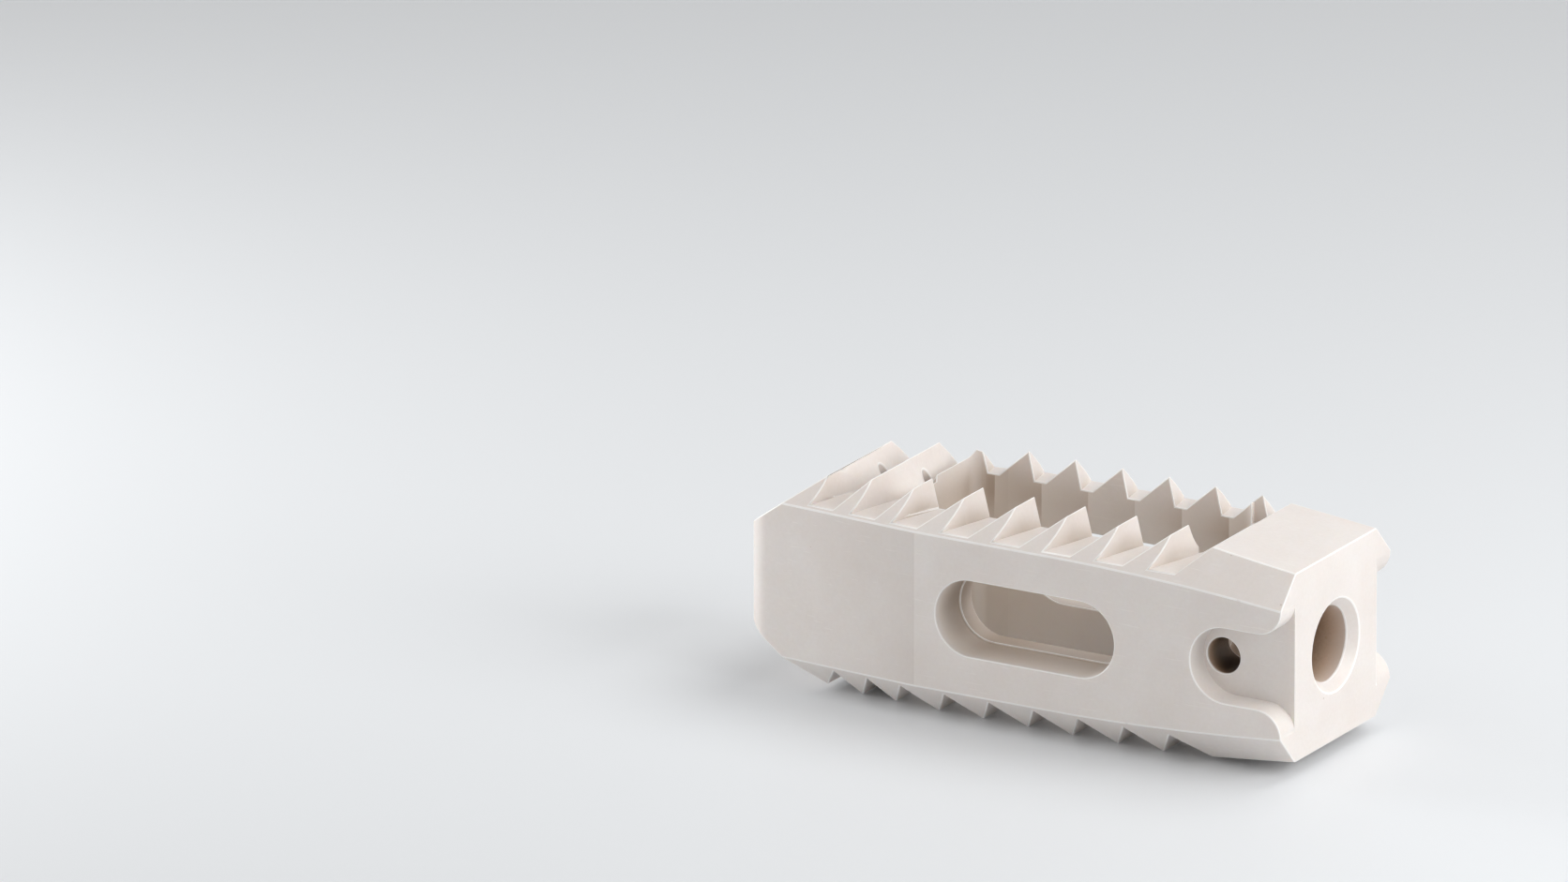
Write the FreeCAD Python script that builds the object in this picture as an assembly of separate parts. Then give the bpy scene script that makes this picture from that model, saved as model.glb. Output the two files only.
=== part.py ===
import FreeCAD, Part
import os
from collections import namedtuple
from math import radians, tan

# Spinal interbody cage for posterior lumbar fusion, machined from one block of PEEK,
# with two tantalum marker pins in the nose. All sizes are in millimetres.
# X runs along the cage, nose at -X and rear face at +X. Y is the width, Z is up.
# The cage rests on the ridges of its lower teeth at Z = 0.

# Envelope
LENGTH = 25.0
WIDTH = 9.0
HEIGHT = 9.2

# Nose in plan view: the side faces lean in, then round over to a flat front
TAPER_LENGTH = 8.2
TAPER_ANGLE = 4.3
NOSE_CORNER_RADIUS = 1.15

# Nose in side view: ramps rise from the front face to the first ridge
NOSE_LENGTH = 3.4
NOSE_FRONT_HEIGHT = 3.9
FIRST_RIDGE_DROP = 0.18

# Teeth: three front ridges, and behind them each rail beside the graft slot has ridges
# of its own, evenly spaced up to its last one, which lies this far ahead of the block
FRONT_PITCH = 2.02
FAR_THIRD_PITCH = 1.55
LOWER_FRONT_PITCH = 1.6
NEAR_UPPER_RAIL_GAPS = 5
NEAR_UPPER_LAST_SETBACK = 1.95
FAR_UPPER_RAIL_GAPS = 6
FAR_UPPER_LAST_SETBACK = 1.25
LOWER_RAIL_GAPS = 6
LOWER_LAST_SETBACK = 2.24
UPPER_TOOTH_DEPTH = 1.22
LOWER_TOOTH_DEPTH = 1.15

# Each valley is a V at mid-width. On top its floor opens towards the sides.
VALLEY_RUN = 0.8
NEAR_FLARE_ANGLE = 16.0
FAR_FLARE_ANGLE = 9.5

# Rear block: its top and underside fall away to the rear
BLOCK_LENGTH = 3.85
BLOCK_FRONT_DROP = 0.18
BLOCK_REAR_DROP = 0.63

# Long chamfers between the side faces and the toothed faces
SIDE_FACE_HEIGHT = 6.5
CHAMFER_RUN = 1.26
CHAMFER_RISE = 1.34
# Over this length the edge of the side face curves down to the rear
SIDE_EDGE_CURVE_LENGTH = 11.0
SIDE_EDGE_REAR_DROP = 0.55
# At +Y a wider chamfer leans in towards the nose over this length
FAR_CHAMFER_LENGTH = 8.9
FAR_CHAMFER_ANGLE = 13.5

# Graft slot, open through the top and the underside, nearer to the +Y side: it starts
# this far behind the second ridge, and ends this far ahead of the rear block
SLOT_WIDTH = 4.8
SLOT_OFFSET_Y = 0.72
SLOT_FRONT_LAND = 1.25
SLOT_REAR_LAND = 1.55
SLOT_CORNER_RADIUS = 0.6

# Side windows, through both walls of the graft slot, with a slight lip deep inside
WINDOW_LENGTH = 8.2
WINDOW_HEIGHT = 3.2
WINDOW_SETBACK = 11.73
WINDOW_LIP_DEPTH = 1.92
WINDOW_LIP_INSET = 0.07

# Inserter bore from the rear face into the graft slot
BORE_RADIUS = 1.56
COUNTERSINK_RADIUS = 1.95
COUNTERSINK_DEPTH = 0.4

# Inserter notches, one on each side, open to the rear
NOTCH_HEIGHT = 3.15
NOTCH_DEPTH = 1.15
NOTCH_LENGTH = 4.15

# Cross hole between the two notches, measured from the rear face
CROSS_HOLE_RADIUS = 0.75
CROSS_HOLE_SETBACK = 3.25

# Tantalum marker pins, upright in the solid nose behind the first two upper ridges.
# Their ends lie just under the floors of the valleys, on top and underneath.
PIN_DIAMETER = 0.6
PIN_CLEARANCE = 0.01
PIN_SETBACK = 0.63
PIN_OFFSET_Y = 0.53
PIN_SINK = 0.1

# Cutters reach this far past the faces that they cut
OVERCUT = 2.0
# The toothed blank is wider than the cage by this much on each side
BLANK_ALLOWANCE = 0.5

REAR_X = LENGTH / 2
FRONT_X = -LENGTH / 2
MID_Z = HEIGHT / 2
HALF_WIDTH = WIDTH / 2
HALF_SIDE = SIDE_FACE_HEIGHT / 2
TAPER_START_X = FRONT_X + TAPER_LENGTH
FIRST_RIDGE_X = FRONT_X + NOSE_LENGTH
BLOCK_START_X = REAR_X - BLOCK_LENGTH
SIDE_EDGE_CURVE_X = REAR_X - SIDE_EDGE_CURVE_LENGTH
SLOT_FRONT_X = FIRST_RIDGE_X + FRONT_PITCH + SLOT_FRONT_LAND
SLOT_REAR_X = BLOCK_START_X - SLOT_REAR_LAND
WINDOW_CENTRE_X = REAR_X - WINDOW_SETBACK
NOTCH_END_CENTRE_X = REAR_X - NOTCH_LENGTH + NOTCH_HEIGHT / 2
CROSS_HOLE_X = REAR_X - CROSS_HOLE_SETBACK

Rail = namedtuple("Rail", "second_pitch third_pitch gaps last_setback depth flare")
NEAR_UPPER = Rail(
    second_pitch=FRONT_PITCH,
    third_pitch=FRONT_PITCH,
    gaps=NEAR_UPPER_RAIL_GAPS,
    last_setback=NEAR_UPPER_LAST_SETBACK,
    depth=UPPER_TOOTH_DEPTH,
    flare=NEAR_FLARE_ANGLE,
)
FAR_UPPER = Rail(
    second_pitch=FRONT_PITCH,
    third_pitch=FAR_THIRD_PITCH,
    gaps=FAR_UPPER_RAIL_GAPS,
    last_setback=FAR_UPPER_LAST_SETBACK,
    depth=UPPER_TOOTH_DEPTH,
    flare=FAR_FLARE_ANGLE,
)
LOWER = Rail(
    second_pitch=LOWER_FRONT_PITCH,
    third_pitch=LOWER_FRONT_PITCH,
    gaps=LOWER_RAIL_GAPS,
    last_setback=LOWER_LAST_SETBACK,
    depth=LOWER_TOOTH_DEPTH,
    flare=0.0,
)


def polygon_face(points):
    loop = list(points) + [points[0]]
    return Part.Face(Part.makePolygon([FreeCAD.Vector(*p) for p in loop]))


def mirrored_below(shape):
    middle = FreeCAD.Vector(0, 0, MID_Z)
    return shape.mirror(middle, FreeCAD.Vector(0, 0, 1))


def mirrored_across(shape):
    return shape.mirror(FreeCAD.Vector(0, 0, 0), FreeCAD.Vector(0, 1, 0))


def ridges(rail):
    """X of each ridge of a rail, from the nose to the rear block."""
    second = FIRST_RIDGE_X + rail.second_pitch
    third = second + rail.third_pitch
    pitch = (BLOCK_START_X - rail.last_setback - third) / rail.gaps
    behind = [third + n * pitch for n in range(1, rail.gaps + 1)]
    return [FIRST_RIDGE_X, second, third] + behind


def valley_foot_x(rail, ridge, y):
    """X of the foot of the steep face behind a ridge, at a distance from mid-width."""
    return ridge + VALLEY_RUN - abs(y) * tan(radians(rail.flare))


def upper_profile(rail, y):
    """Side view of the upper half at this Y, as a closed loop from the front face."""
    floor_z = HEIGHT - rail.depth
    points = [(FRONT_X, y, MID_Z + NOSE_FRONT_HEIGHT / 2)]
    for x in ridges(rail):
        drop = FIRST_RIDGE_DROP if x == FIRST_RIDGE_X else 0.0
        points.append((x, y, HEIGHT - drop))
        points.append((valley_foot_x(rail, x, y), y, floor_z))
        points.append((x + VALLEY_RUN, y, floor_z))
    points.append((BLOCK_START_X, y, HEIGHT - BLOCK_FRONT_DROP))
    points.append((REAR_X, y, HEIGHT - BLOCK_REAR_DROP))
    points.append((REAR_X, y, MID_Z))
    points.append((FRONT_X, y, MID_Z))
    points.append(points[0])
    return points


def distinct(points):
    """The points of a closed loop without those that repeat the one before."""
    return [p for p, before in zip(points, points[-1:] + points[:-1]) if p != before]


def strip_face(inner_start, inner_end, outer_end, outer_start):
    """Face of one step of the profile, from mid-width to past the side face."""
    corners = distinct([inner_start, inner_end, outer_end, outer_start])
    sweep_start = inner_start[0] - outer_start[0]
    sweep_end = inner_end[0] - outer_end[0]
    if len(corners) == 4 and abs(sweep_start - sweep_end) > 1e-6:
        return Part.makeRuledSurface(
            Part.makeLine(FreeCAD.Vector(*inner_start), FreeCAD.Vector(*outer_start)),
            Part.makeLine(FreeCAD.Vector(*inner_end), FreeCAD.Vector(*outer_end)),
        )
    return polygon_face(corners)


def toothed_quarter(rail):
    """Upper half of the blank from mid-width to past -Y, with the teeth of a rail."""
    inner = upper_profile(rail, 0.0)
    outer = upper_profile(rail, -HALF_WIDTH - BLANK_ALLOWANCE)
    faces = [polygon_face(distinct(inner[:-1])), polygon_face(distinct(outer[:-1]))]
    for step in range(len(inner) - 1):
        if outer[step] != outer[step + 1]:
            faces.append(
                strip_face(inner[step], inner[step + 1], outer[step + 1], outer[step])
            )
    shell = Part.makeShell(faces)
    shell.sewShape()
    return Part.makeSolid(shell)


def toothed_blank():
    lower = mirrored_below(toothed_quarter(LOWER))
    upper_far = mirrored_across(toothed_quarter(FAR_UPPER))
    parts = [upper_far, lower, mirrored_across(lower)]
    return toothed_quarter(NEAR_UPPER).fuse(parts).removeSplitter()


def taper_half_width(x):
    if x >= TAPER_START_X:
        return HALF_WIDTH
    return HALF_WIDTH - (TAPER_START_X - x) * tan(radians(TAPER_ANGLE))


def plan_prism():
    """Plan outline of the cage as a tall prism with the rounded nose corners."""
    nose_half = taper_half_width(FRONT_X)
    outline = [
        (REAR_X, -HALF_WIDTH, -OVERCUT),
        (REAR_X, HALF_WIDTH, -OVERCUT),
        (TAPER_START_X, HALF_WIDTH, -OVERCUT),
        (FRONT_X, nose_half, -OVERCUT),
        (FRONT_X, -nose_half, -OVERCUT),
        (TAPER_START_X, -HALF_WIDTH, -OVERCUT),
    ]
    prism = polygon_face(outline).extrude(FreeCAD.Vector(0, 0, HEIGHT + 2 * OVERCUT))
    corners = [
        edge
        for edge in prism.Edges
        if edge.BoundBox.XLength < 1e-6
        and edge.BoundBox.YLength < 1e-6
        and edge.BoundBox.Center.x < FRONT_X + 1e-3
    ]
    return prism.makeFillet(NOSE_CORNER_RADIUS, corners)


def side_edge_curve():
    """Upper edge of the side face from the taper start to past the rear face."""
    start = FreeCAD.Vector(SIDE_EDGE_CURVE_X, 0, MID_Z + HALF_SIDE)
    span = REAR_X - SIDE_EDGE_CURVE_X
    mid = FreeCAD.Vector(
        SIDE_EDGE_CURVE_X + span / 2, 0, start.z - SIDE_EDGE_REAR_DROP / 4
    )
    end = FreeCAD.Vector(REAR_X, 0, start.z - SIDE_EDGE_REAR_DROP)
    return Part.Arc(start, mid, end).toShape()


def chamfer_cutter():
    """Material outside the chamfer of the straight part, top side, at -Y."""
    curve = side_edge_curve()
    start = curve.Vertexes[0].Point
    end = curve.Vertexes[-1].Point
    high = HEIGHT + 3 * OVERCUT
    front = FreeCAD.Vector(TAPER_START_X, 0, start.z)
    past = FreeCAD.Vector(end.x + OVERCUT, 0, end.z)
    edges = [
        Part.makeLine(front, start),
        curve,
        Part.makeLine(end, past),
        Part.makeLine(past, FreeCAD.Vector(past.x, 0, high)),
        Part.makeLine(FreeCAD.Vector(past.x, 0, high), FreeCAD.Vector(front.x, 0, high)),
        Part.makeLine(FreeCAD.Vector(front.x, 0, high), front),
    ]
    face = Part.Face(Part.Wire(edges))
    reach = OVERCUT / CHAMFER_RUN
    face.translate(
        FreeCAD.Vector(0, -HALF_WIDTH - OVERCUT, -CHAMFER_RISE * reach)
    )
    steps = 2 * reach + 1
    return face.extrude(FreeCAD.Vector(0, CHAMFER_RUN * steps, CHAMFER_RISE * steps))


def nose_chamfer_cutter(length, angle):
    """Material outside a chamfer that leans in towards the nose, top side, at -Y."""
    low = MID_Z + HALF_SIDE
    high = HEIGHT + 3 * OVERCUT
    start_x = FRONT_X + length
    tip_x = FRONT_X - OVERCUT
    tip_y = -HALF_WIDTH + (start_x - tip_x) * tan(radians(angle))
    outline = [
        (start_x, -HALF_WIDTH, low),
        (start_x, -HALF_WIDTH, high),
        (tip_x, tip_y, high),
        (tip_x, tip_y, low),
    ]
    reach = OVERCUT / CHAMFER_RUN
    face = polygon_face(outline)
    face.translate(FreeCAD.Vector(0, -OVERCUT, -CHAMFER_RISE * reach))
    steps = 2 * reach + 1
    return face.extrude(FreeCAD.Vector(0, CHAMFER_RUN * steps, CHAMFER_RISE * steps))


def graft_slot():
    """Cutter with rounded corners that stands through the whole height."""
    start_y = SLOT_OFFSET_Y - SLOT_WIDTH / 2
    block = Part.makeBox(
        SLOT_REAR_X - SLOT_FRONT_X,
        SLOT_WIDTH,
        HEIGHT + 2 * OVERCUT,
        FreeCAD.Vector(SLOT_FRONT_X, start_y, -OVERCUT),
    )
    corners = [
        edge
        for edge in block.Edges
        if edge.BoundBox.XLength < 1e-6 and edge.BoundBox.YLength < 1e-6
    ]
    return block.makeFillet(SLOT_CORNER_RADIUS, corners)


def rear_ramp():
    """Cutter over the ramp from the rear end of the slot up to the rear block."""
    start_y = SLOT_OFFSET_Y - SLOT_WIDTH / 2
    last_x = ridges(NEAR_UPPER)[-1]
    foot_x = valley_foot_x(NEAR_UPPER, last_x, start_y)
    floor_z = HEIGHT - NEAR_UPPER.depth
    outline = [
        (foot_x, start_y, floor_z),
        (last_x + VALLEY_RUN, start_y, floor_z),
        (BLOCK_START_X, start_y, HEIGHT - BLOCK_FRONT_DROP),
        (BLOCK_START_X, start_y, HEIGHT + OVERCUT),
        (foot_x, start_y, HEIGHT + OVERCUT),
    ]
    return polygon_face(outline).extrude(FreeCAD.Vector(0, SLOT_WIDTH, 0))


def window_cutter(inset, start_y, wide):
    """Round-ended cutter along Y, smaller than the window all round by the inset."""
    radius = WINDOW_HEIGHT / 2 - inset
    straight = WINDOW_LENGTH - WINDOW_HEIGHT
    start_x = WINDOW_CENTRE_X - straight / 2
    corner = FreeCAD.Vector(start_x, start_y, MID_Z - radius)
    block = Part.makeBox(straight, wide, 2 * radius, corner)
    along = FreeCAD.Vector(0, 1, 0)
    ends = [
        Part.makeCylinder(radius, wide, FreeCAD.Vector(x, start_y, MID_Z), along)
        for x in (start_x, start_x + straight)
    ]
    return block.fuse(ends).removeSplitter()


def side_windows():
    """Windows at both sides: wide from outside, and narrower past the lip."""
    start_y = -HALF_WIDTH - OVERCUT
    through = window_cutter(WINDOW_LIP_INSET, start_y, WIDTH + 2 * OVERCUT)
    mouth = window_cutter(0.0, start_y, WINDOW_LIP_DEPTH + OVERCUT)
    return through.fuse([mouth, mirrored_across(mouth)])


def inserter_bore():
    """Bore from the rear face into the graft slot, with its countersunk mouth."""
    axis = FreeCAD.Vector(-1, 0, 0)
    start = FreeCAD.Vector(REAR_X + OVERCUT, 0, MID_Z)
    bore = Part.makeCylinder(BORE_RADIUS, start.x - WINDOW_CENTRE_X, start, axis)
    slope = (COUNTERSINK_RADIUS - BORE_RADIUS) / COUNTERSINK_DEPTH
    mouth = Part.makeCone(
        COUNTERSINK_RADIUS + slope * OVERCUT,
        BORE_RADIUS,
        COUNTERSINK_DEPTH + OVERCUT,
        start,
        axis,
    )
    return bore.fuse(mouth)


def inserter_notch():
    """Notch cutter at -Y: round at the front, flared round lugs at the rear."""
    half = NOTCH_HEIGHT / 2
    lug_z = HALF_SIDE - SIDE_EDGE_REAR_DROP
    lug_radius = lug_z - half
    y = -HALF_WIDTH + NOTCH_DEPTH
    corner_x = REAR_X - lug_radius
    slant = lug_radius * (1 - 0.5 ** 0.5)

    def at(x, z):
        return FreeCAD.Vector(x, y, MID_Z + z)

    upper_lug = Part.Arc(
        at(corner_x, half),
        at(REAR_X - slant, half + slant),
        at(REAR_X, lug_z),
    )
    lower_lug = Part.Arc(
        at(REAR_X, -lug_z),
        at(REAR_X - slant, -half - slant),
        at(corner_x, -half),
    )
    round_end = Part.Arc(
        at(NOTCH_END_CENTRE_X, -half),
        at(NOTCH_END_CENTRE_X - half, 0),
        at(NOTCH_END_CENTRE_X, half),
    )
    past_x = REAR_X + OVERCUT
    edges = [
        Part.makeLine(at(NOTCH_END_CENTRE_X, half), at(corner_x, half)),
        upper_lug.toShape(),
        Part.makeLine(at(REAR_X, lug_z), at(past_x, lug_z)),
        Part.makeLine(at(past_x, lug_z), at(past_x, -lug_z)),
        Part.makeLine(at(past_x, -lug_z), at(REAR_X, -lug_z)),
        lower_lug.toShape(),
        Part.makeLine(at(corner_x, -half), at(NOTCH_END_CENTRE_X, -half)),
        round_end.toShape(),
    ]
    face = Part.Face(Part.Wire(edges))
    return face.extrude(FreeCAD.Vector(0, -NOTCH_DEPTH - OVERCUT, 0))


def cross_hole():
    start = FreeCAD.Vector(CROSS_HOLE_X, -HALF_WIDTH - OVERCUT, MID_Z)
    across = FreeCAD.Vector(0, 1, 0)
    return Part.makeCylinder(CROSS_HOLE_RADIUS, WIDTH + 2 * OVERCUT, start, across)


def upright_pin(number, radius, low_z):
    """Cylinder behind the upper ridge with this number, centred in the height."""
    x = FIRST_RIDGE_X + number * FRONT_PITCH + PIN_SETBACK
    foot = FreeCAD.Vector(x, PIN_OFFSET_Y, low_z)
    return Part.makeCylinder(radius, HEIGHT - 2 * low_z, foot)


def pin_hole(number):
    return upright_pin(number, PIN_DIAMETER / 2 + PIN_CLEARANCE, -OVERCUT)


def marker_pin(number):
    return upright_pin(number, PIN_DIAMETER / 2, UPPER_TOOTH_DEPTH + PIN_SINK)


def chamfer_cutters():
    straight = chamfer_cutter()
    near = nose_chamfer_cutter(TAPER_LENGTH, TAPER_ANGLE)
    far = mirrored_across(nose_chamfer_cutter(FAR_CHAMFER_LENGTH, FAR_CHAMFER_ANGLE))
    upper = [straight, mirrored_across(straight), near, far]
    return upper + [mirrored_below(cutter) for cutter in upper]


def cage_body():
    body = toothed_blank().common(plan_prism())
    body = body.cut(chamfer_cutters())
    notch = inserter_notch()
    cutters = [
        graft_slot(),
        rear_ramp(),
        side_windows(),
        inserter_bore(),
        notch,
        mirrored_across(notch),
        cross_hole(),
        pin_hole(0),
        pin_hole(1),
    ]
    return body.cut(cutters).removeSplitter()


os.makedirs("parts", exist_ok=True)
solids = {
    "cage_body": cage_body(),
    "front_marker_pin": marker_pin(0),
    "second_marker_pin": marker_pin(1),
}
for name, shape in solids.items():
    shape.exportStep("parts/" + name + ".step")
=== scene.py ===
from math import cos, pi, radians, sin

import bmesh
import bpy
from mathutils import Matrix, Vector


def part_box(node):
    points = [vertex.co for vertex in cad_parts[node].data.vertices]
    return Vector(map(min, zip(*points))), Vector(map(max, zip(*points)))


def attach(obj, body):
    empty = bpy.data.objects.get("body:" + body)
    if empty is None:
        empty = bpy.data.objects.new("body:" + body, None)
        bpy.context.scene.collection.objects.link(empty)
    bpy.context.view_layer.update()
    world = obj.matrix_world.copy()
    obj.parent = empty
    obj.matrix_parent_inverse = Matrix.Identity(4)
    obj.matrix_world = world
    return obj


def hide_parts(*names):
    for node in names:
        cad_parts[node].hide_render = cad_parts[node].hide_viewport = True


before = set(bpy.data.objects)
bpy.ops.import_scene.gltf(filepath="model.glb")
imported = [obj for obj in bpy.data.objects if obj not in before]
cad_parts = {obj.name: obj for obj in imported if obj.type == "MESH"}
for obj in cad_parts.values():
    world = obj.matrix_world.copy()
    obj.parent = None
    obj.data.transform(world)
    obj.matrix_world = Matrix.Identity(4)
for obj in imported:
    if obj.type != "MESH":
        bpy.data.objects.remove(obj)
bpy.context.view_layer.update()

MM = 0.001

# The photograph's view: its lines run almost parallel, so the lens is long and far away
PHOTO_WIDTH_PX = 1672
PHOTO_HEIGHT_PX = 941
PX_PER_MM = 26.64
OBJECT_CENTRE_PX = (1134, 634)
AZIMUTH = 29.5
ELEVATION = 18.7
LENS_MM = 800
SENSOR_MM = 36
FLOOR_MM = 3000

# Width of the broken edges on the machined body and on the cut pins
BODY_EDGE_MM = 0.05
PIN_EDGE_MM = 0.04
# Outward corners sharper than this are broken
BROKEN_ANGLE = radians(24)
# A ridge that the chamfers leave shorter than this comes to a point
SHORTEST_RIDGE_MM = 0.06
# Faces that meet at less than this are shaded as one
SMOOTH_ANGLE = radians(22)
# Two large flats that meet at a slight angle still keep a crisp line between them
CREASE_ANGLE = radians(1.5)
CREASE_FLAT_MM2 = 8.0
# How near points, levels and flats have to be to count as the same
SAME_POINT_MM = 0.0005
SAME_LEVEL_MM = 0.001
SAME_FLAT_ANGLE = radians(0.6)

# Milling passes: the axis that the faces look along, where the cutter stood, its feed
MILLING_PASSES = (
    ("Y", (10.0, 0.0, -8.0), 0.42),
    ("X", (0.0, -6.0, 5.0), 0.5),
    ("Z", (3.0, -10.0, 0.0), 0.36),
)
MARK_DEPTH_MM = 0.0025
# A cutter doesn't mark evenly: the arcs come and go in patches of this size
WORN_PATCH_MM = 10 / 3

# Sizes of the patterns in the plastic. A scratch has a length and two widths.
CLOUD_MM = 2.5
GRAIN_MM = 1 / 6
SCRATCH_MM = (10 / 7, 1 / 14, 1 / 14)
SCRATCH_TURN = (0.3, 0.5, 0.2)
SPECK_SPACING_MM = 1.25
# Patches along the painted edge highlights
HIGHLIGHT_PATCH_MM = 0.4
# Light wanders this far inside the plastic before it comes out again
LIGHT_DEPTH_MM = 0.5
PEEK_IOR = 1.65
# The cut-off tool drew its scratches across the wire, so they are narrow along Y
CUT_SCRATCH_MM = (1 / 3, 1 / 26, 1 / 3)
CUT_DEPTH_MM = 0.004

# Places in the cage: along each axis, where the place starts and where it is full.
# A wall that looks along the axis counts as 1 mm further out than it is.
SLOT_AND_WINDOWS_MM = (("X", 8.2, 7.3), ("Y", 4.4, 4.05), ("Z", 4.4, 2.9))
DEEP_IN_WINDOW_MM = (("Y", 4.7, 2.7),)
BORE_AND_CROSS_HOLE_MM = (("X", 6.9, 7.4), ("Y", 3.4, 3.15), ("Z", 3.2, 2.6))
# A face's openness is the share of its sky within this reach that nothing covers.
# Each pair gives where a painted shade starts and where it is full.
OPENNESS_REACH_MM = 7
OPENNESS_OF_WALLS = (0.95, 0.5)
OPENNESS_OF_HOLES = (0.5, 0.25)
OPENNESS_OF_HOLE_ENDS = (0.29, 0.14)
# Upright bands of painted shade on the slot's walls, one behind the foot of each tooth
WALL_SHADE_BAND_MM = 2.155
FIRST_SHADE_BAND_MM = 1.53
SHADE_BAND_HEIGHT_MM = (1.4, 2.6)
# The tapered sides get painted shade, which darkens towards the taper's end
TAPER_SHADE_MM = (-9.0, -4.3)
SQUARE_TO_SIDE = 0.95

LOW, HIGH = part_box("cage_body")
CENTRE = (LOW + HIGH) / 2


def linear(hex_colour):
    """Linear RGBA of an sRGB hex colour."""
    parts = [int(hex_colour[i:i + 2], 16) / 255 for i in (1, 3, 5)]
    curved = [
        c / 12.92 if c <= 0.04045 else ((c + 0.055) / 1.055) ** 2.4 for c in parts
    ]
    return (*curved, 1.0)


def direction(azimuth, elevation):
    """Unit vector away from the cage: azimuth 0 is the side at -Y, and 90 the rear at +X."""
    a, e = radians(azimuth), radians(elevation)
    return Vector((sin(a) * cos(e), -cos(a) * cos(e), sin(e)))


def add_node(tree, kind, inputs=None, **settings):
    """Adds a node with its settings, and gives its inputs a value or a link."""
    made = tree.nodes.new(kind)
    for name, value in settings.items():
        setattr(made, name, value)
    for name, value in (inputs or {}).items():
        if isinstance(value, bpy.types.NodeSocket):
            tree.links.new(value, made.inputs[name])
        else:
            made.inputs[name].default_value = value
    return made


def new_material(name):
    material = bpy.data.materials.new(name)
    material.use_nodes = True
    tree = material.node_tree
    tree.nodes.clear()
    shader = add_node(tree, "ShaderNodeBsdfPrincipled")
    add_node(tree, "ShaderNodeOutputMaterial", {0: shader.outputs[0]})
    return material, tree, shader


def place_in_mm(tree):
    """Object coordinates in millimetres from the middle of the cage."""
    coordinates = add_node(tree, "ShaderNodeTexCoord").outputs["Object"]
    settings = {
        "Vector": coordinates,
        "Location": tuple(-c / MM for c in CENTRE),
        "Scale": (1 / MM, 1 / MM, 1 / MM),
    }
    return add_node(tree, "ShaderNodeMapping", settings).outputs[0]


def along_and_facing(tree, place):
    """For each axis, where a point lies along it and how squarely its face looks along it."""
    along = add_node(tree, "ShaderNodeSeparateXYZ", {0: place}).outputs
    normal = add_node(tree, "ShaderNodeTexCoord").outputs["Normal"]
    looks = add_node(tree, "ShaderNodeSeparateXYZ", {0: normal}).outputs
    facing = {}
    for axis in "XYZ":
        facing[axis] = add_node(
            tree, "ShaderNodeMath", {0: looks[axis]}, operation="ABSOLUTE"
        ).outputs[0]
    return along, facing


def milling_marks(tree, place, facing):
    """Height of the arcs that the end mill left, on the faces of each pass."""
    marks = 0.0
    for axis, cutter_mm, feed_mm in MILLING_PASSES:
        around = add_node(
            tree, "ShaderNodeVectorMath", {0: place, 1: cutter_mm}, operation="SUBTRACT"
        ).outputs[0]
        # One ring of the wave per feed: the node fits 10 / pi rings in one unit
        arcs = add_node(
            tree, "ShaderNodeTexWave",
            {"Vector": around, "Scale": pi / 10 / feed_mm, "Distortion": 0.5},
            wave_type="RINGS", rings_direction=axis,
        ).outputs["Fac"]
        milled = add_node(
            tree, "ShaderNodeMapRange",
            {"Value": facing[axis], "From Min": 0.6, "From Max": 0.9},
        ).outputs[0]
        marks = add_node(
            tree, "ShaderNodeMath", {0: arcs, 1: milled, 2: marks},
            operation="MULTIPLY_ADD",
        ).outputs[0]
    patches = add_node(
        tree, "ShaderNodeTexNoise",
        {"Vector": place, "Scale": 1 / WORN_PATCH_MM, "Detail": 3.0},
    ).outputs["Fac"]
    worn = add_node(
        tree, "ShaderNodeMapRange", {"Value": patches, "From Min": 0.45, "From Max": 0.7}
    ).outputs[0]
    return add_node(
        tree, "ShaderNodeMath", {0: marks, 1: worn}, operation="MULTIPLY"
    ).outputs[0]


def hair_scratches(tree, place):
    """Up to 0.35 along hair-fine slanting scratches, and 0 between them."""
    slanted = add_node(
        tree, "ShaderNodeMapping",
        {
            "Vector": place, "Rotation": SCRATCH_TURN,
            "Scale": tuple(1 / size_mm for size_mm in SCRATCH_MM),
        },
    ).outputs[0]
    streaks = add_node(
        tree, "ShaderNodeTexNoise", {"Vector": slanted, "Scale": 1.0, "Detail": 1.0}
    ).outputs["Fac"]
    return add_node(
        tree, "ShaderNodeMapRange",
        {"Value": streaks, "From Min": 0.68, "From Max": 0.74, "To Max": 0.35},
    ).outputs[0]


def dark_specks(tree, place):
    """1 inside the specks in the plastic, and 0 between them."""
    scattered = add_node(
        tree, "ShaderNodeTexVoronoi", {"Vector": place, "Scale": 1 / SPECK_SPACING_MM}
    ).outputs
    chance = add_node(
        tree, "ShaderNodeSeparateColor", {0: scattered["Color"]}
    ).outputs[0]
    # Radius of a cell's speck: up to a twentieth of the spacing, and none where it is below 0
    radius = add_node(
        tree, "ShaderNodeMath", {0: chance, 1: 0.07, 2: -0.02}, operation="MULTIPLY_ADD"
    ).outputs[0]
    return add_node(
        tree, "ShaderNodeMath", {0: scattered["Distance"], 1: radius},
        operation="LESS_THAN",
    ).outputs[0]


def taper_painted_shade(tree, along, facing):
    """Three factors of the painted shade on the taper: its rise towards the end, before that
    end, on the sides.
    """
    start_mm, end_mm = TAPER_SHADE_MM
    rising = add_node(
        tree, "ShaderNodeMapRange",
        {"Value": along["X"], "From Min": start_mm, "From Max": end_mm},
    ).outputs[0]
    before_end = add_node(
        tree, "ShaderNodeMath", {0: along["X"], 1: end_mm}, operation="LESS_THAN"
    ).outputs[0]
    on_side = add_node(
        tree, "ShaderNodeMath", {0: facing["Y"], 1: SQUARE_TO_SIDE},
        operation="GREATER_THAN",
    ).outputs[0]
    return rising, before_end, on_side


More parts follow.
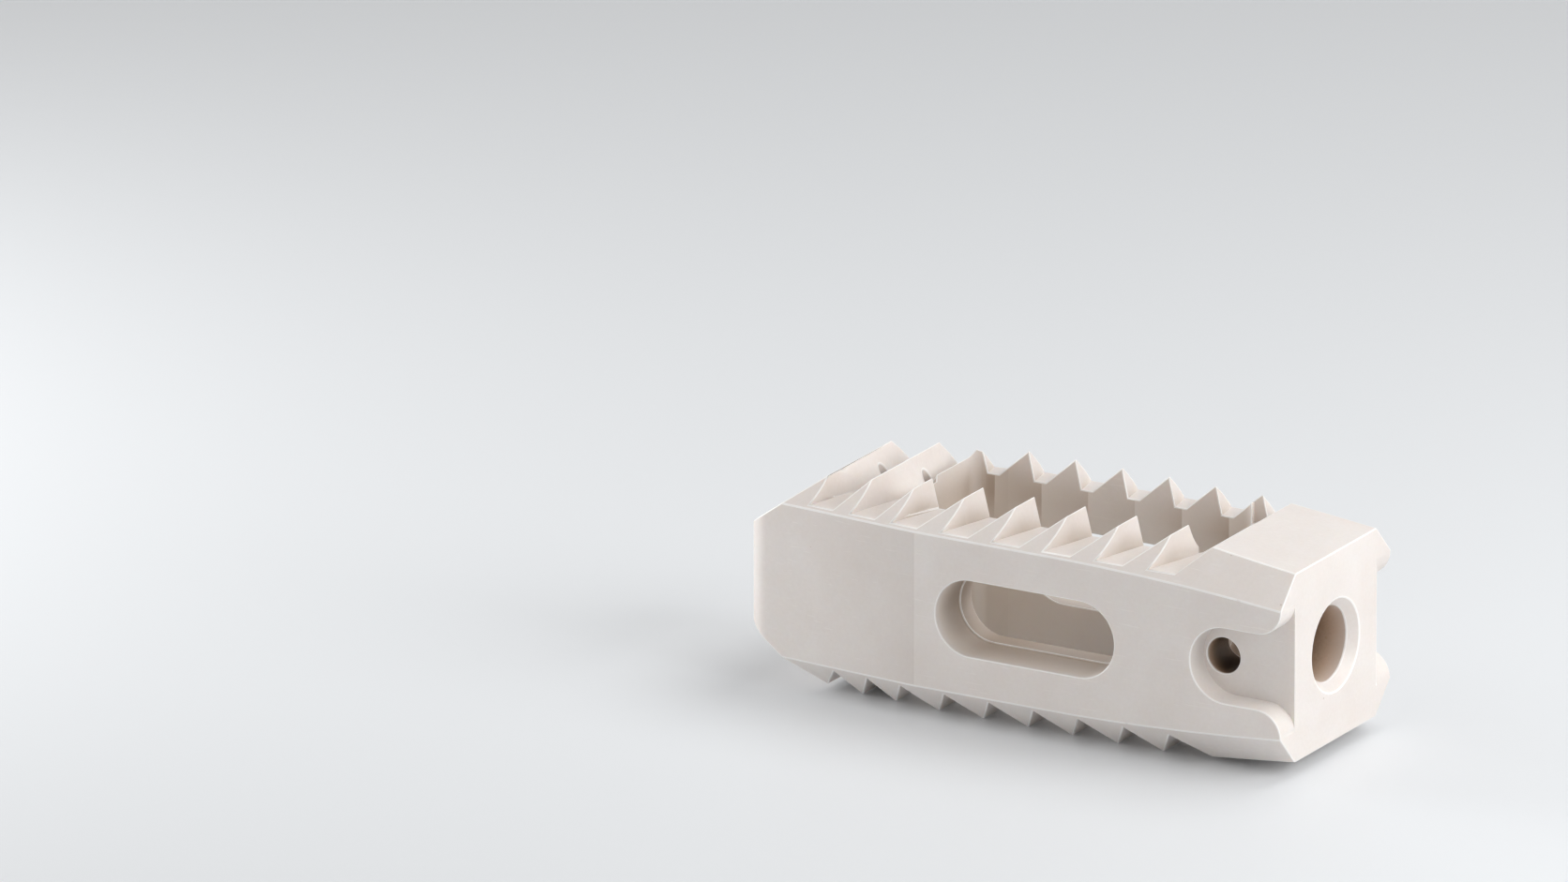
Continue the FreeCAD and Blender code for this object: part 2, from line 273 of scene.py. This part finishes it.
def within(tree, along, facing, limits_mm):
    """1 on the walls inside the limits, and 0 on the outer faces and the teeth."""
    inside = 1.0
    for axis, start_mm, full_mm in limits_mm:
        away = add_node(
            tree, "ShaderNodeMath", {0: along[axis]}, operation="ABSOLUTE"
        ).outputs[0]
        outward = add_node(
            tree, "ShaderNodeMath", {0: away, 1: facing[axis]}, operation="ADD"
        ).outputs[0]
        near = add_node(
            tree, "ShaderNodeMapRange",
            {"Value": outward, "From Min": start_mm, "From Max": full_mm},
            interpolation_type="SMOOTHSTEP",
        ).outputs[0]
        inside = add_node(
            tree, "ShaderNodeMath", {0: inside, 1: near}, operation="MULTIPLY"
        ).outputs[0]
    return inside


def inner_painted_shade(tree, place, along, facing):
    """Painted shade on the inner walls: tints, each with the factors that say how much it
    covers.
    """
    openness = add_node(
        tree, "ShaderNodeAmbientOcclusion", {"Distance": OPENNESS_REACH_MM * MM},
        samples=20, only_local=True,
    ).outputs["AO"]
    walls, holes, hole_ends = [
        add_node(
            tree, "ShaderNodeMapRange",
            {"Value": openness, "From Min": start, "From Max": full},
        ).outputs[0]
        for start, full in (OPENNESS_OF_WALLS, OPENNESS_OF_HOLES, OPENNESS_OF_HOLE_ENDS)
    ]
    in_slot = within(tree, along, facing, SLOT_AND_WINDOWS_MM)
    in_window = within(tree, along, facing, DEEP_IN_WINDOW_MM)
    in_holes = within(tree, along, facing, BORE_AND_CROSS_HOLE_MM)
    side_walls = facing["Y"]
    ends_and_sills = add_node(
        tree, "ShaderNodeMath", {0: 1.0, 1: side_walls}, operation="SUBTRACT"
    ).outputs[0]
    # Painted shade: a saw of upright bands along the slot's walls, darkening towards each
    # tooth
    shade_bands = add_node(
        tree, "ShaderNodeTexWave",
        {
            "Vector": place, "Scale": pi / 10 / WALL_SHADE_BAND_MM, "Distortion": 0.3,
            "Phase Offset": -2 * pi * FIRST_SHADE_BAND_MM / WALL_SHADE_BAND_MM,
        },
        wave_profile="SAW",
    ).outputs["Fac"]
    start_mm, full_mm = SHADE_BAND_HEIGHT_MM
    beside_teeth = add_node(
        tree, "ShaderNodeMapRange",
        {"Value": along["Z"], "From Min": start_mm, "From Max": full_mm},
    ).outputs[0]
    return (
        # Painted shade, deeper where less sky is open: a browner beige on the slot's walls for
        # light bounced off PEEK, darker deep in the windows, upright bands beside the teeth,
        # brown in the bore and cross hole, near black at their ends
        ("#eae0d5", walls, in_slot, 0.88),
        ("#8f7863", walls, in_slot, ends_and_sills, in_window, 0.7),
        ("#a38870", walls, in_slot, shade_bands, side_walls, beside_teeth, 0.7),
        ("#cba683", holes, in_holes, 0.9),
        ("#20120a", hole_ends, in_holes, 0.95),
    )


def milled_peek():
    """Natural PEEK, end-milled: a pale pinkish beige plastic with a soft satin sheen.

    The eye sees slight clouding, faint cutter arcs, hair-fine scratches and a few specks.
    Painted shade is mixed into the colour: a browner beige on the inner walls, where the light
    has bounced off PEEK twice, darker deep in the windows and holes, upright bands beside the
    teeth, and a darker end on the tapered sides.
    """
    material, tree, shader = new_material("milled_natural_peek")
    place = place_in_mm(tree)
    along, facing = along_and_facing(tree, place)
    clouds = add_node(
        tree, "ShaderNodeTexNoise",
        {"Vector": place, "Scale": 1 / CLOUD_MM, "Detail": 4.0, "Distortion": 0.4},
    ).outputs["Fac"]
    grain = add_node(
        tree, "ShaderNodeTexNoise",
        {"Vector": place, "Scale": 1 / GRAIN_MM, "Detail": 3.0, "Roughness": 0.6},
    ).outputs["Fac"]

    colour = add_node(
        tree, "ShaderNodeMix",
        {0: clouds, 6: linear("#e0d7d1"), 7: linear("#efebe8")},
        data_type="RGBA",
    ).outputs[2]
    layers = (
        ("#c9bcb1", grain, 0.24),
        ("#f6f1ec", hair_scratches(tree, place), 0.75),
        ("#a08b77", dark_specks(tree, place), 0.4),
        # Painted shade on the tapered sides, darker towards the taper's end
        ("#a79b92", *taper_painted_shade(tree, along, facing), 0.22),
        # Painted shade and bounced light on the inner walls
        *inner_painted_shade(tree, place, along, facing),
    )
    for tint, cover, *factors in layers:
        for factor in factors:
            cover = add_node(
                tree, "ShaderNodeMath", {0: cover, 1: factor}, operation="MULTIPLY"
            ).outputs[0]
        colour = add_node(
            tree, "ShaderNodeMix", {0: cover, 6: colour, 7: linear(tint)},
            data_type="RGBA",
        ).outputs[2]
    tree.links.new(colour, shader.inputs["Base Color"])

    # The grain takes the roughness from 0.38 up to 0.52
    roughness = add_node(
        tree, "ShaderNodeMath", {0: grain, 1: 0.14, 2: 0.38}, operation="MULTIPLY_ADD"
    ).outputs[0]
    tree.links.new(roughness, shader.inputs["Roughness"])
    # The grain is 0.8 of the depth of a cutter's arc
    marks = milling_marks(tree, place, facing)
    height = add_node(
        tree, "ShaderNodeMath", {0: grain, 1: 0.8, 2: marks}, operation="MULTIPLY_ADD"
    ).outputs[0]
    bump = add_node(
        tree, "ShaderNodeBump",
        {"Height": height, "Distance": MARK_DEPTH_MM * MM, "Strength": 0.6},
    ).outputs[0]
    tree.links.new(bump, shader.inputs["Normal"])
    shader.inputs["IOR"].default_value = PEEK_IOR
    shader.inputs["Subsurface Weight"].default_value = 0.18
    shader.inputs["Subsurface Radius"].default_value = (1.0, 0.6, 0.36)
    shader.inputs["Subsurface Scale"].default_value = LIGHT_DEPTH_MM * MM
    return material


def painted_highlight_edge():
    """Painted highlights on the broken PEEK edges: thin lines, paler and glossier than the
    faces.
    """
    material, tree, shader = new_material("painted_highlight_edge")
    highlight_patches = add_node(
        tree, "ShaderNodeTexNoise",
        {"Vector": place_in_mm(tree), "Scale": 1 / HIGHLIGHT_PATCH_MM, "Detail": 2.0},
    ).outputs["Fac"]
    # The pale colour paints the highlights that the edges catch, in patches
    colour = add_node(
        tree, "ShaderNodeMix",
        {0: highlight_patches, 6: linear("#f2eeeb"), 7: linear("#fbfaf8")},
        data_type="RGBA",
    ).outputs[2]
    tree.links.new(colour, shader.inputs["Base Color"])
    roughness = add_node(
        tree, "ShaderNodeMath", {0: highlight_patches, 1: 0.2, 2: 0.22}, operation="MULTIPLY_ADD"
    ).outputs[0]
    tree.links.new(roughness, shader.inputs["Roughness"])
    shader.inputs["IOR"].default_value = PEEK_IOR
    return material


def cut_tantalum():
    """Tantalum wire, cut to length: a heavy blue-grey metal with a dull shine.

    The eye sees fine scratches from the cut-off tool on the ends.
    """
    material, tree, shader = new_material("cut_tantalum_wire")
    stretched = add_node(
        tree, "ShaderNodeMapping",
        {
            "Vector": place_in_mm(tree),
            "Scale": tuple(1 / size_mm for size_mm in CUT_SCRATCH_MM),
        },
    ).outputs[0]
    scratches = add_node(
        tree, "ShaderNodeTexNoise", {"Vector": stretched, "Scale": 1.0, "Detail": 2.0}
    ).outputs["Fac"]
    colour = add_node(
        tree, "ShaderNodeMix",
        {0: scratches, 6: linear("#62646a"), 7: linear("#8c8e94")},
        data_type="RGBA",
    ).outputs[2]
    tree.links.new(colour, shader.inputs["Base Color"])
    roughness = add_node(
        tree, "ShaderNodeMath", {0: scratches, 1: 0.25, 2: 0.22},
        operation="MULTIPLY_ADD",
    ).outputs[0]
    tree.links.new(roughness, shader.inputs["Roughness"])
    bump = add_node(
        tree, "ShaderNodeBump",
        {"Height": scratches, "Distance": CUT_DEPTH_MM * MM, "Strength": 0.5},
    ).outputs[0]
    tree.links.new(bump, shader.inputs["Normal"])
    shader.inputs["Metallic"].default_value = 1.0
    return material


def matt_acrylic():
    """Pale matt acrylic sheet under the cage, with a weak, blurred reflection."""
    material, tree, shader = new_material("matt_pale_acrylic")
    shader.inputs["Base Color"].default_value = linear("#e4e7ea")
    shader.inputs["Roughness"].default_value = 0.55
    shader.inputs["IOR"].default_value = 1.49
    return material


def is_crease(edge):
    """Whether an edge stays a crisp line: a clear corner, or between two large flats."""
    if len(edge.link_faces) != 2:
        return True
    angle = edge.calc_face_angle()
    flat_mm2 = min(face.calc_area() for face in edge.link_faces) / (MM * MM)
    return angle > SMOOTH_ANGLE or (angle > CREASE_ANGLE and flat_mm2 > CREASE_FLAT_MM2)


def is_broken(edge):
    """Whether the finisher broke an edge: a sharp corner that points outward."""
    if len(edge.link_faces) != 2:
        return False
    return edge.is_convex and edge.calc_face_angle() > BROKEN_ANGLE


def merged_mesh(node_name, mesh_name):
    """A merged copy of a CAD node's mesh, with the edges to break marked."""
    work = bmesh.new()
    work.from_mesh(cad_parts[node_name].data)
    bmesh.ops.remove_doubles(work, verts=work.verts, dist=SAME_POINT_MM * MM)
    level = SAME_LEVEL_MM * MM
    ridges = [v for v in work.verts if min(v.co.z - LOW.z, HIGH.z - v.co.z) < level]
    bmesh.ops.remove_doubles(work, verts=ridges, dist=SHORTEST_RIDGE_MM * MM)
    bmesh.ops.dissolve_limit(
        work, angle_limit=SAME_FLAT_ANGLE, verts=work.verts, edges=work.edges,
        delimit={"NORMAL"},
    )
    bmesh.ops.recalc_face_normals(work, faces=work.faces)
    marked = work.edges.layers.float.new("bevel_weight_edge")
    for edge in work.edges:
        edge.smooth = not is_crease(edge)
        edge[marked] = 1.0 if is_broken(edge) else 0.0
    for face in work.faces:
        face.smooth = True
        face.material_index = 0
    mesh = bpy.data.meshes.new(mesh_name)
    work.to_mesh(mesh)
    work.free()
    return mesh


def break_edges(piece, edge_mm):
    """Breaks the marked edges in the piece's last material, and keeps a plain mesh."""
    bevel = piece.modifiers.new("broken_edges", "BEVEL")
    bevel.width = edge_mm * MM
    bevel.segments = 2
    bevel.limit_method = "WEIGHT"
    bevel.use_clamp_overlap = False
    bevel.miter_outer = "MITER_ARC"
    bevel.harden_normals = True
    # On the cage the broken edges take the pale edge material, which paints their highlights
    bevel.material = len(piece.data.materials) - 1
    made = bpy.data.meshes.new_from_object(
        piece.evaluated_get(bpy.context.evaluated_depsgraph_get())
    )
    piece.modifiers.clear()
    piece.data = made
    # A mitred corner may stand out by a few hundredths of a millimetre: it is pushed back
    for vertex in made.vertices:
        vertex.co = [max(a, min(c, b)) for a, c, b in zip(LOW, vertex.co, HIGH)]


def edge_broken_copy(node_name, piece_name, materials, edge_mm):
    """A merged copy of a CAD node with its sharp edges broken, which stands for it."""
    piece = bpy.data.objects.new(piece_name, merged_mesh(node_name, piece_name))
    for material in materials:
        piece.data.materials.append(material)
    bpy.context.scene.collection.objects.link(piece)
    break_edges(piece, edge_mm)
    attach(piece, "root")
    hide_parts(node_name)


def floor():
    bpy.ops.mesh.primitive_plane_add(size=FLOOR_MM * MM, location=(0, 0, LOW.z))
    sheet = bpy.context.object
    sheet.name = "studio_floor"
    sheet.data.materials.append(matt_acrylic())


def area_light(name, size_mm, strength_w, azimuth, elevation, distance_mm):
    """A soft round lamp that stands in a direction from the cage and is aimed at it."""
    away = direction(azimuth, elevation)
    data = bpy.data.lights.new(name, "AREA")
    data.shape = "DISK"
    data.size = size_mm * MM
    data.energy = strength_w
    lamp = bpy.data.objects.new(name, data)
    lamp.location = CENTRE + away * distance_mm * MM
    lamp.rotation_euler = away.to_track_quat("Z", "Y").to_euler()
    bpy.context.scene.collection.objects.link(lamp)


def lights():
    lamps = (
        # Name, size in mm, strength in watts, azimuth, elevation, distance in mm
        ("rear_softbox", 90, 0.086, 94, 28, 130),
        ("side_kicker", 60, 0.014, 66, 32, 130),
        ("top_softbox", 110, 0.083, 150, 62, 150),
        ("nose_rim", 60, 0.064, -80, 12, 110),
        ("front_fill", 90, 0.011, -30, 16, 130),
    )
    for lamp in lamps:
        area_light(*lamp)


def surroundings():
    """Pale even surroundings: dim for what they light, paler where they are seen."""
    world = bpy.data.worlds.new("studio")
    bpy.context.scene.world = world
    world.use_nodes = True
    tree = world.node_tree
    tree.nodes.clear()
    path = add_node(tree, "ShaderNodeLightPath").outputs
    seen = path["Is Camera Ray"]
    for ray in ("Is Glossy Ray", "Is Transmission Ray"):
        seen = add_node(
            tree, "ShaderNodeMath", {0: seen, 1: path[ray]}, operation="MAXIMUM"
        ).outputs[0]
    lit = add_node(
        tree, "ShaderNodeBackground", {"Color": linear("#f9f5f1"), "Strength": 0.36}
    ).outputs[0]
    shown = add_node(
        tree, "ShaderNodeBackground", {"Color": linear("#eef2f6"), "Strength": 1.0}
    ).outputs[0]
    mixed = add_node(tree, "ShaderNodeMixShader", {0: seen, 1: lit, 2: shown}).outputs[0]
    add_node(tree, "ShaderNodeOutputWorld", {0: mixed})


def camera():
    """The photograph's viewpoint, turned so that the cage lies where it does in the photo."""
    back = direction(AZIMUTH, ELEVATION)
    right = direction(AZIMUTH + 90, 0)
    up = back.cross(right)
    across_mm = (OBJECT_CENTRE_PX[0] - PHOTO_WIDTH_PX / 2) / PX_PER_MM
    down_mm = (OBJECT_CENTRE_PX[1] - PHOTO_HEIGHT_PX / 2) / PX_PER_MM
    aim = CENTRE - right * across_mm * MM + up * down_mm * MM
    distance_mm = LENS_MM * PHOTO_WIDTH_PX / SENSOR_MM / PX_PER_MM
    data = bpy.data.cameras.new("camera")
    data.lens = LENS_MM
    data.sensor_width = SENSOR_MM
    data.clip_start = 0.01
    data.clip_end = 10
    eye = bpy.data.objects.new("camera", data)
    eye.location = CENTRE + back * distance_mm * MM
    eye.rotation_euler = (eye.location - aim).to_track_quat("Z", "Y").to_euler()
    bpy.context.scene.collection.objects.link(eye)
    bpy.context.scene.camera = eye


peek = (milled_peek(), painted_highlight_edge())
tantalum = (cut_tantalum(),)
edge_broken_copy("cage_body", "milled_cage", peek, BODY_EDGE_MM)
edge_broken_copy("front_marker_pin", "front_pin", tantalum, PIN_EDGE_MM)
edge_broken_copy("second_marker_pin", "second_pin", tantalum, PIN_EDGE_MM)
floor()
lights()
surroundings()
camera()
bpy.context.scene.view_settings.view_transform = "Standard"
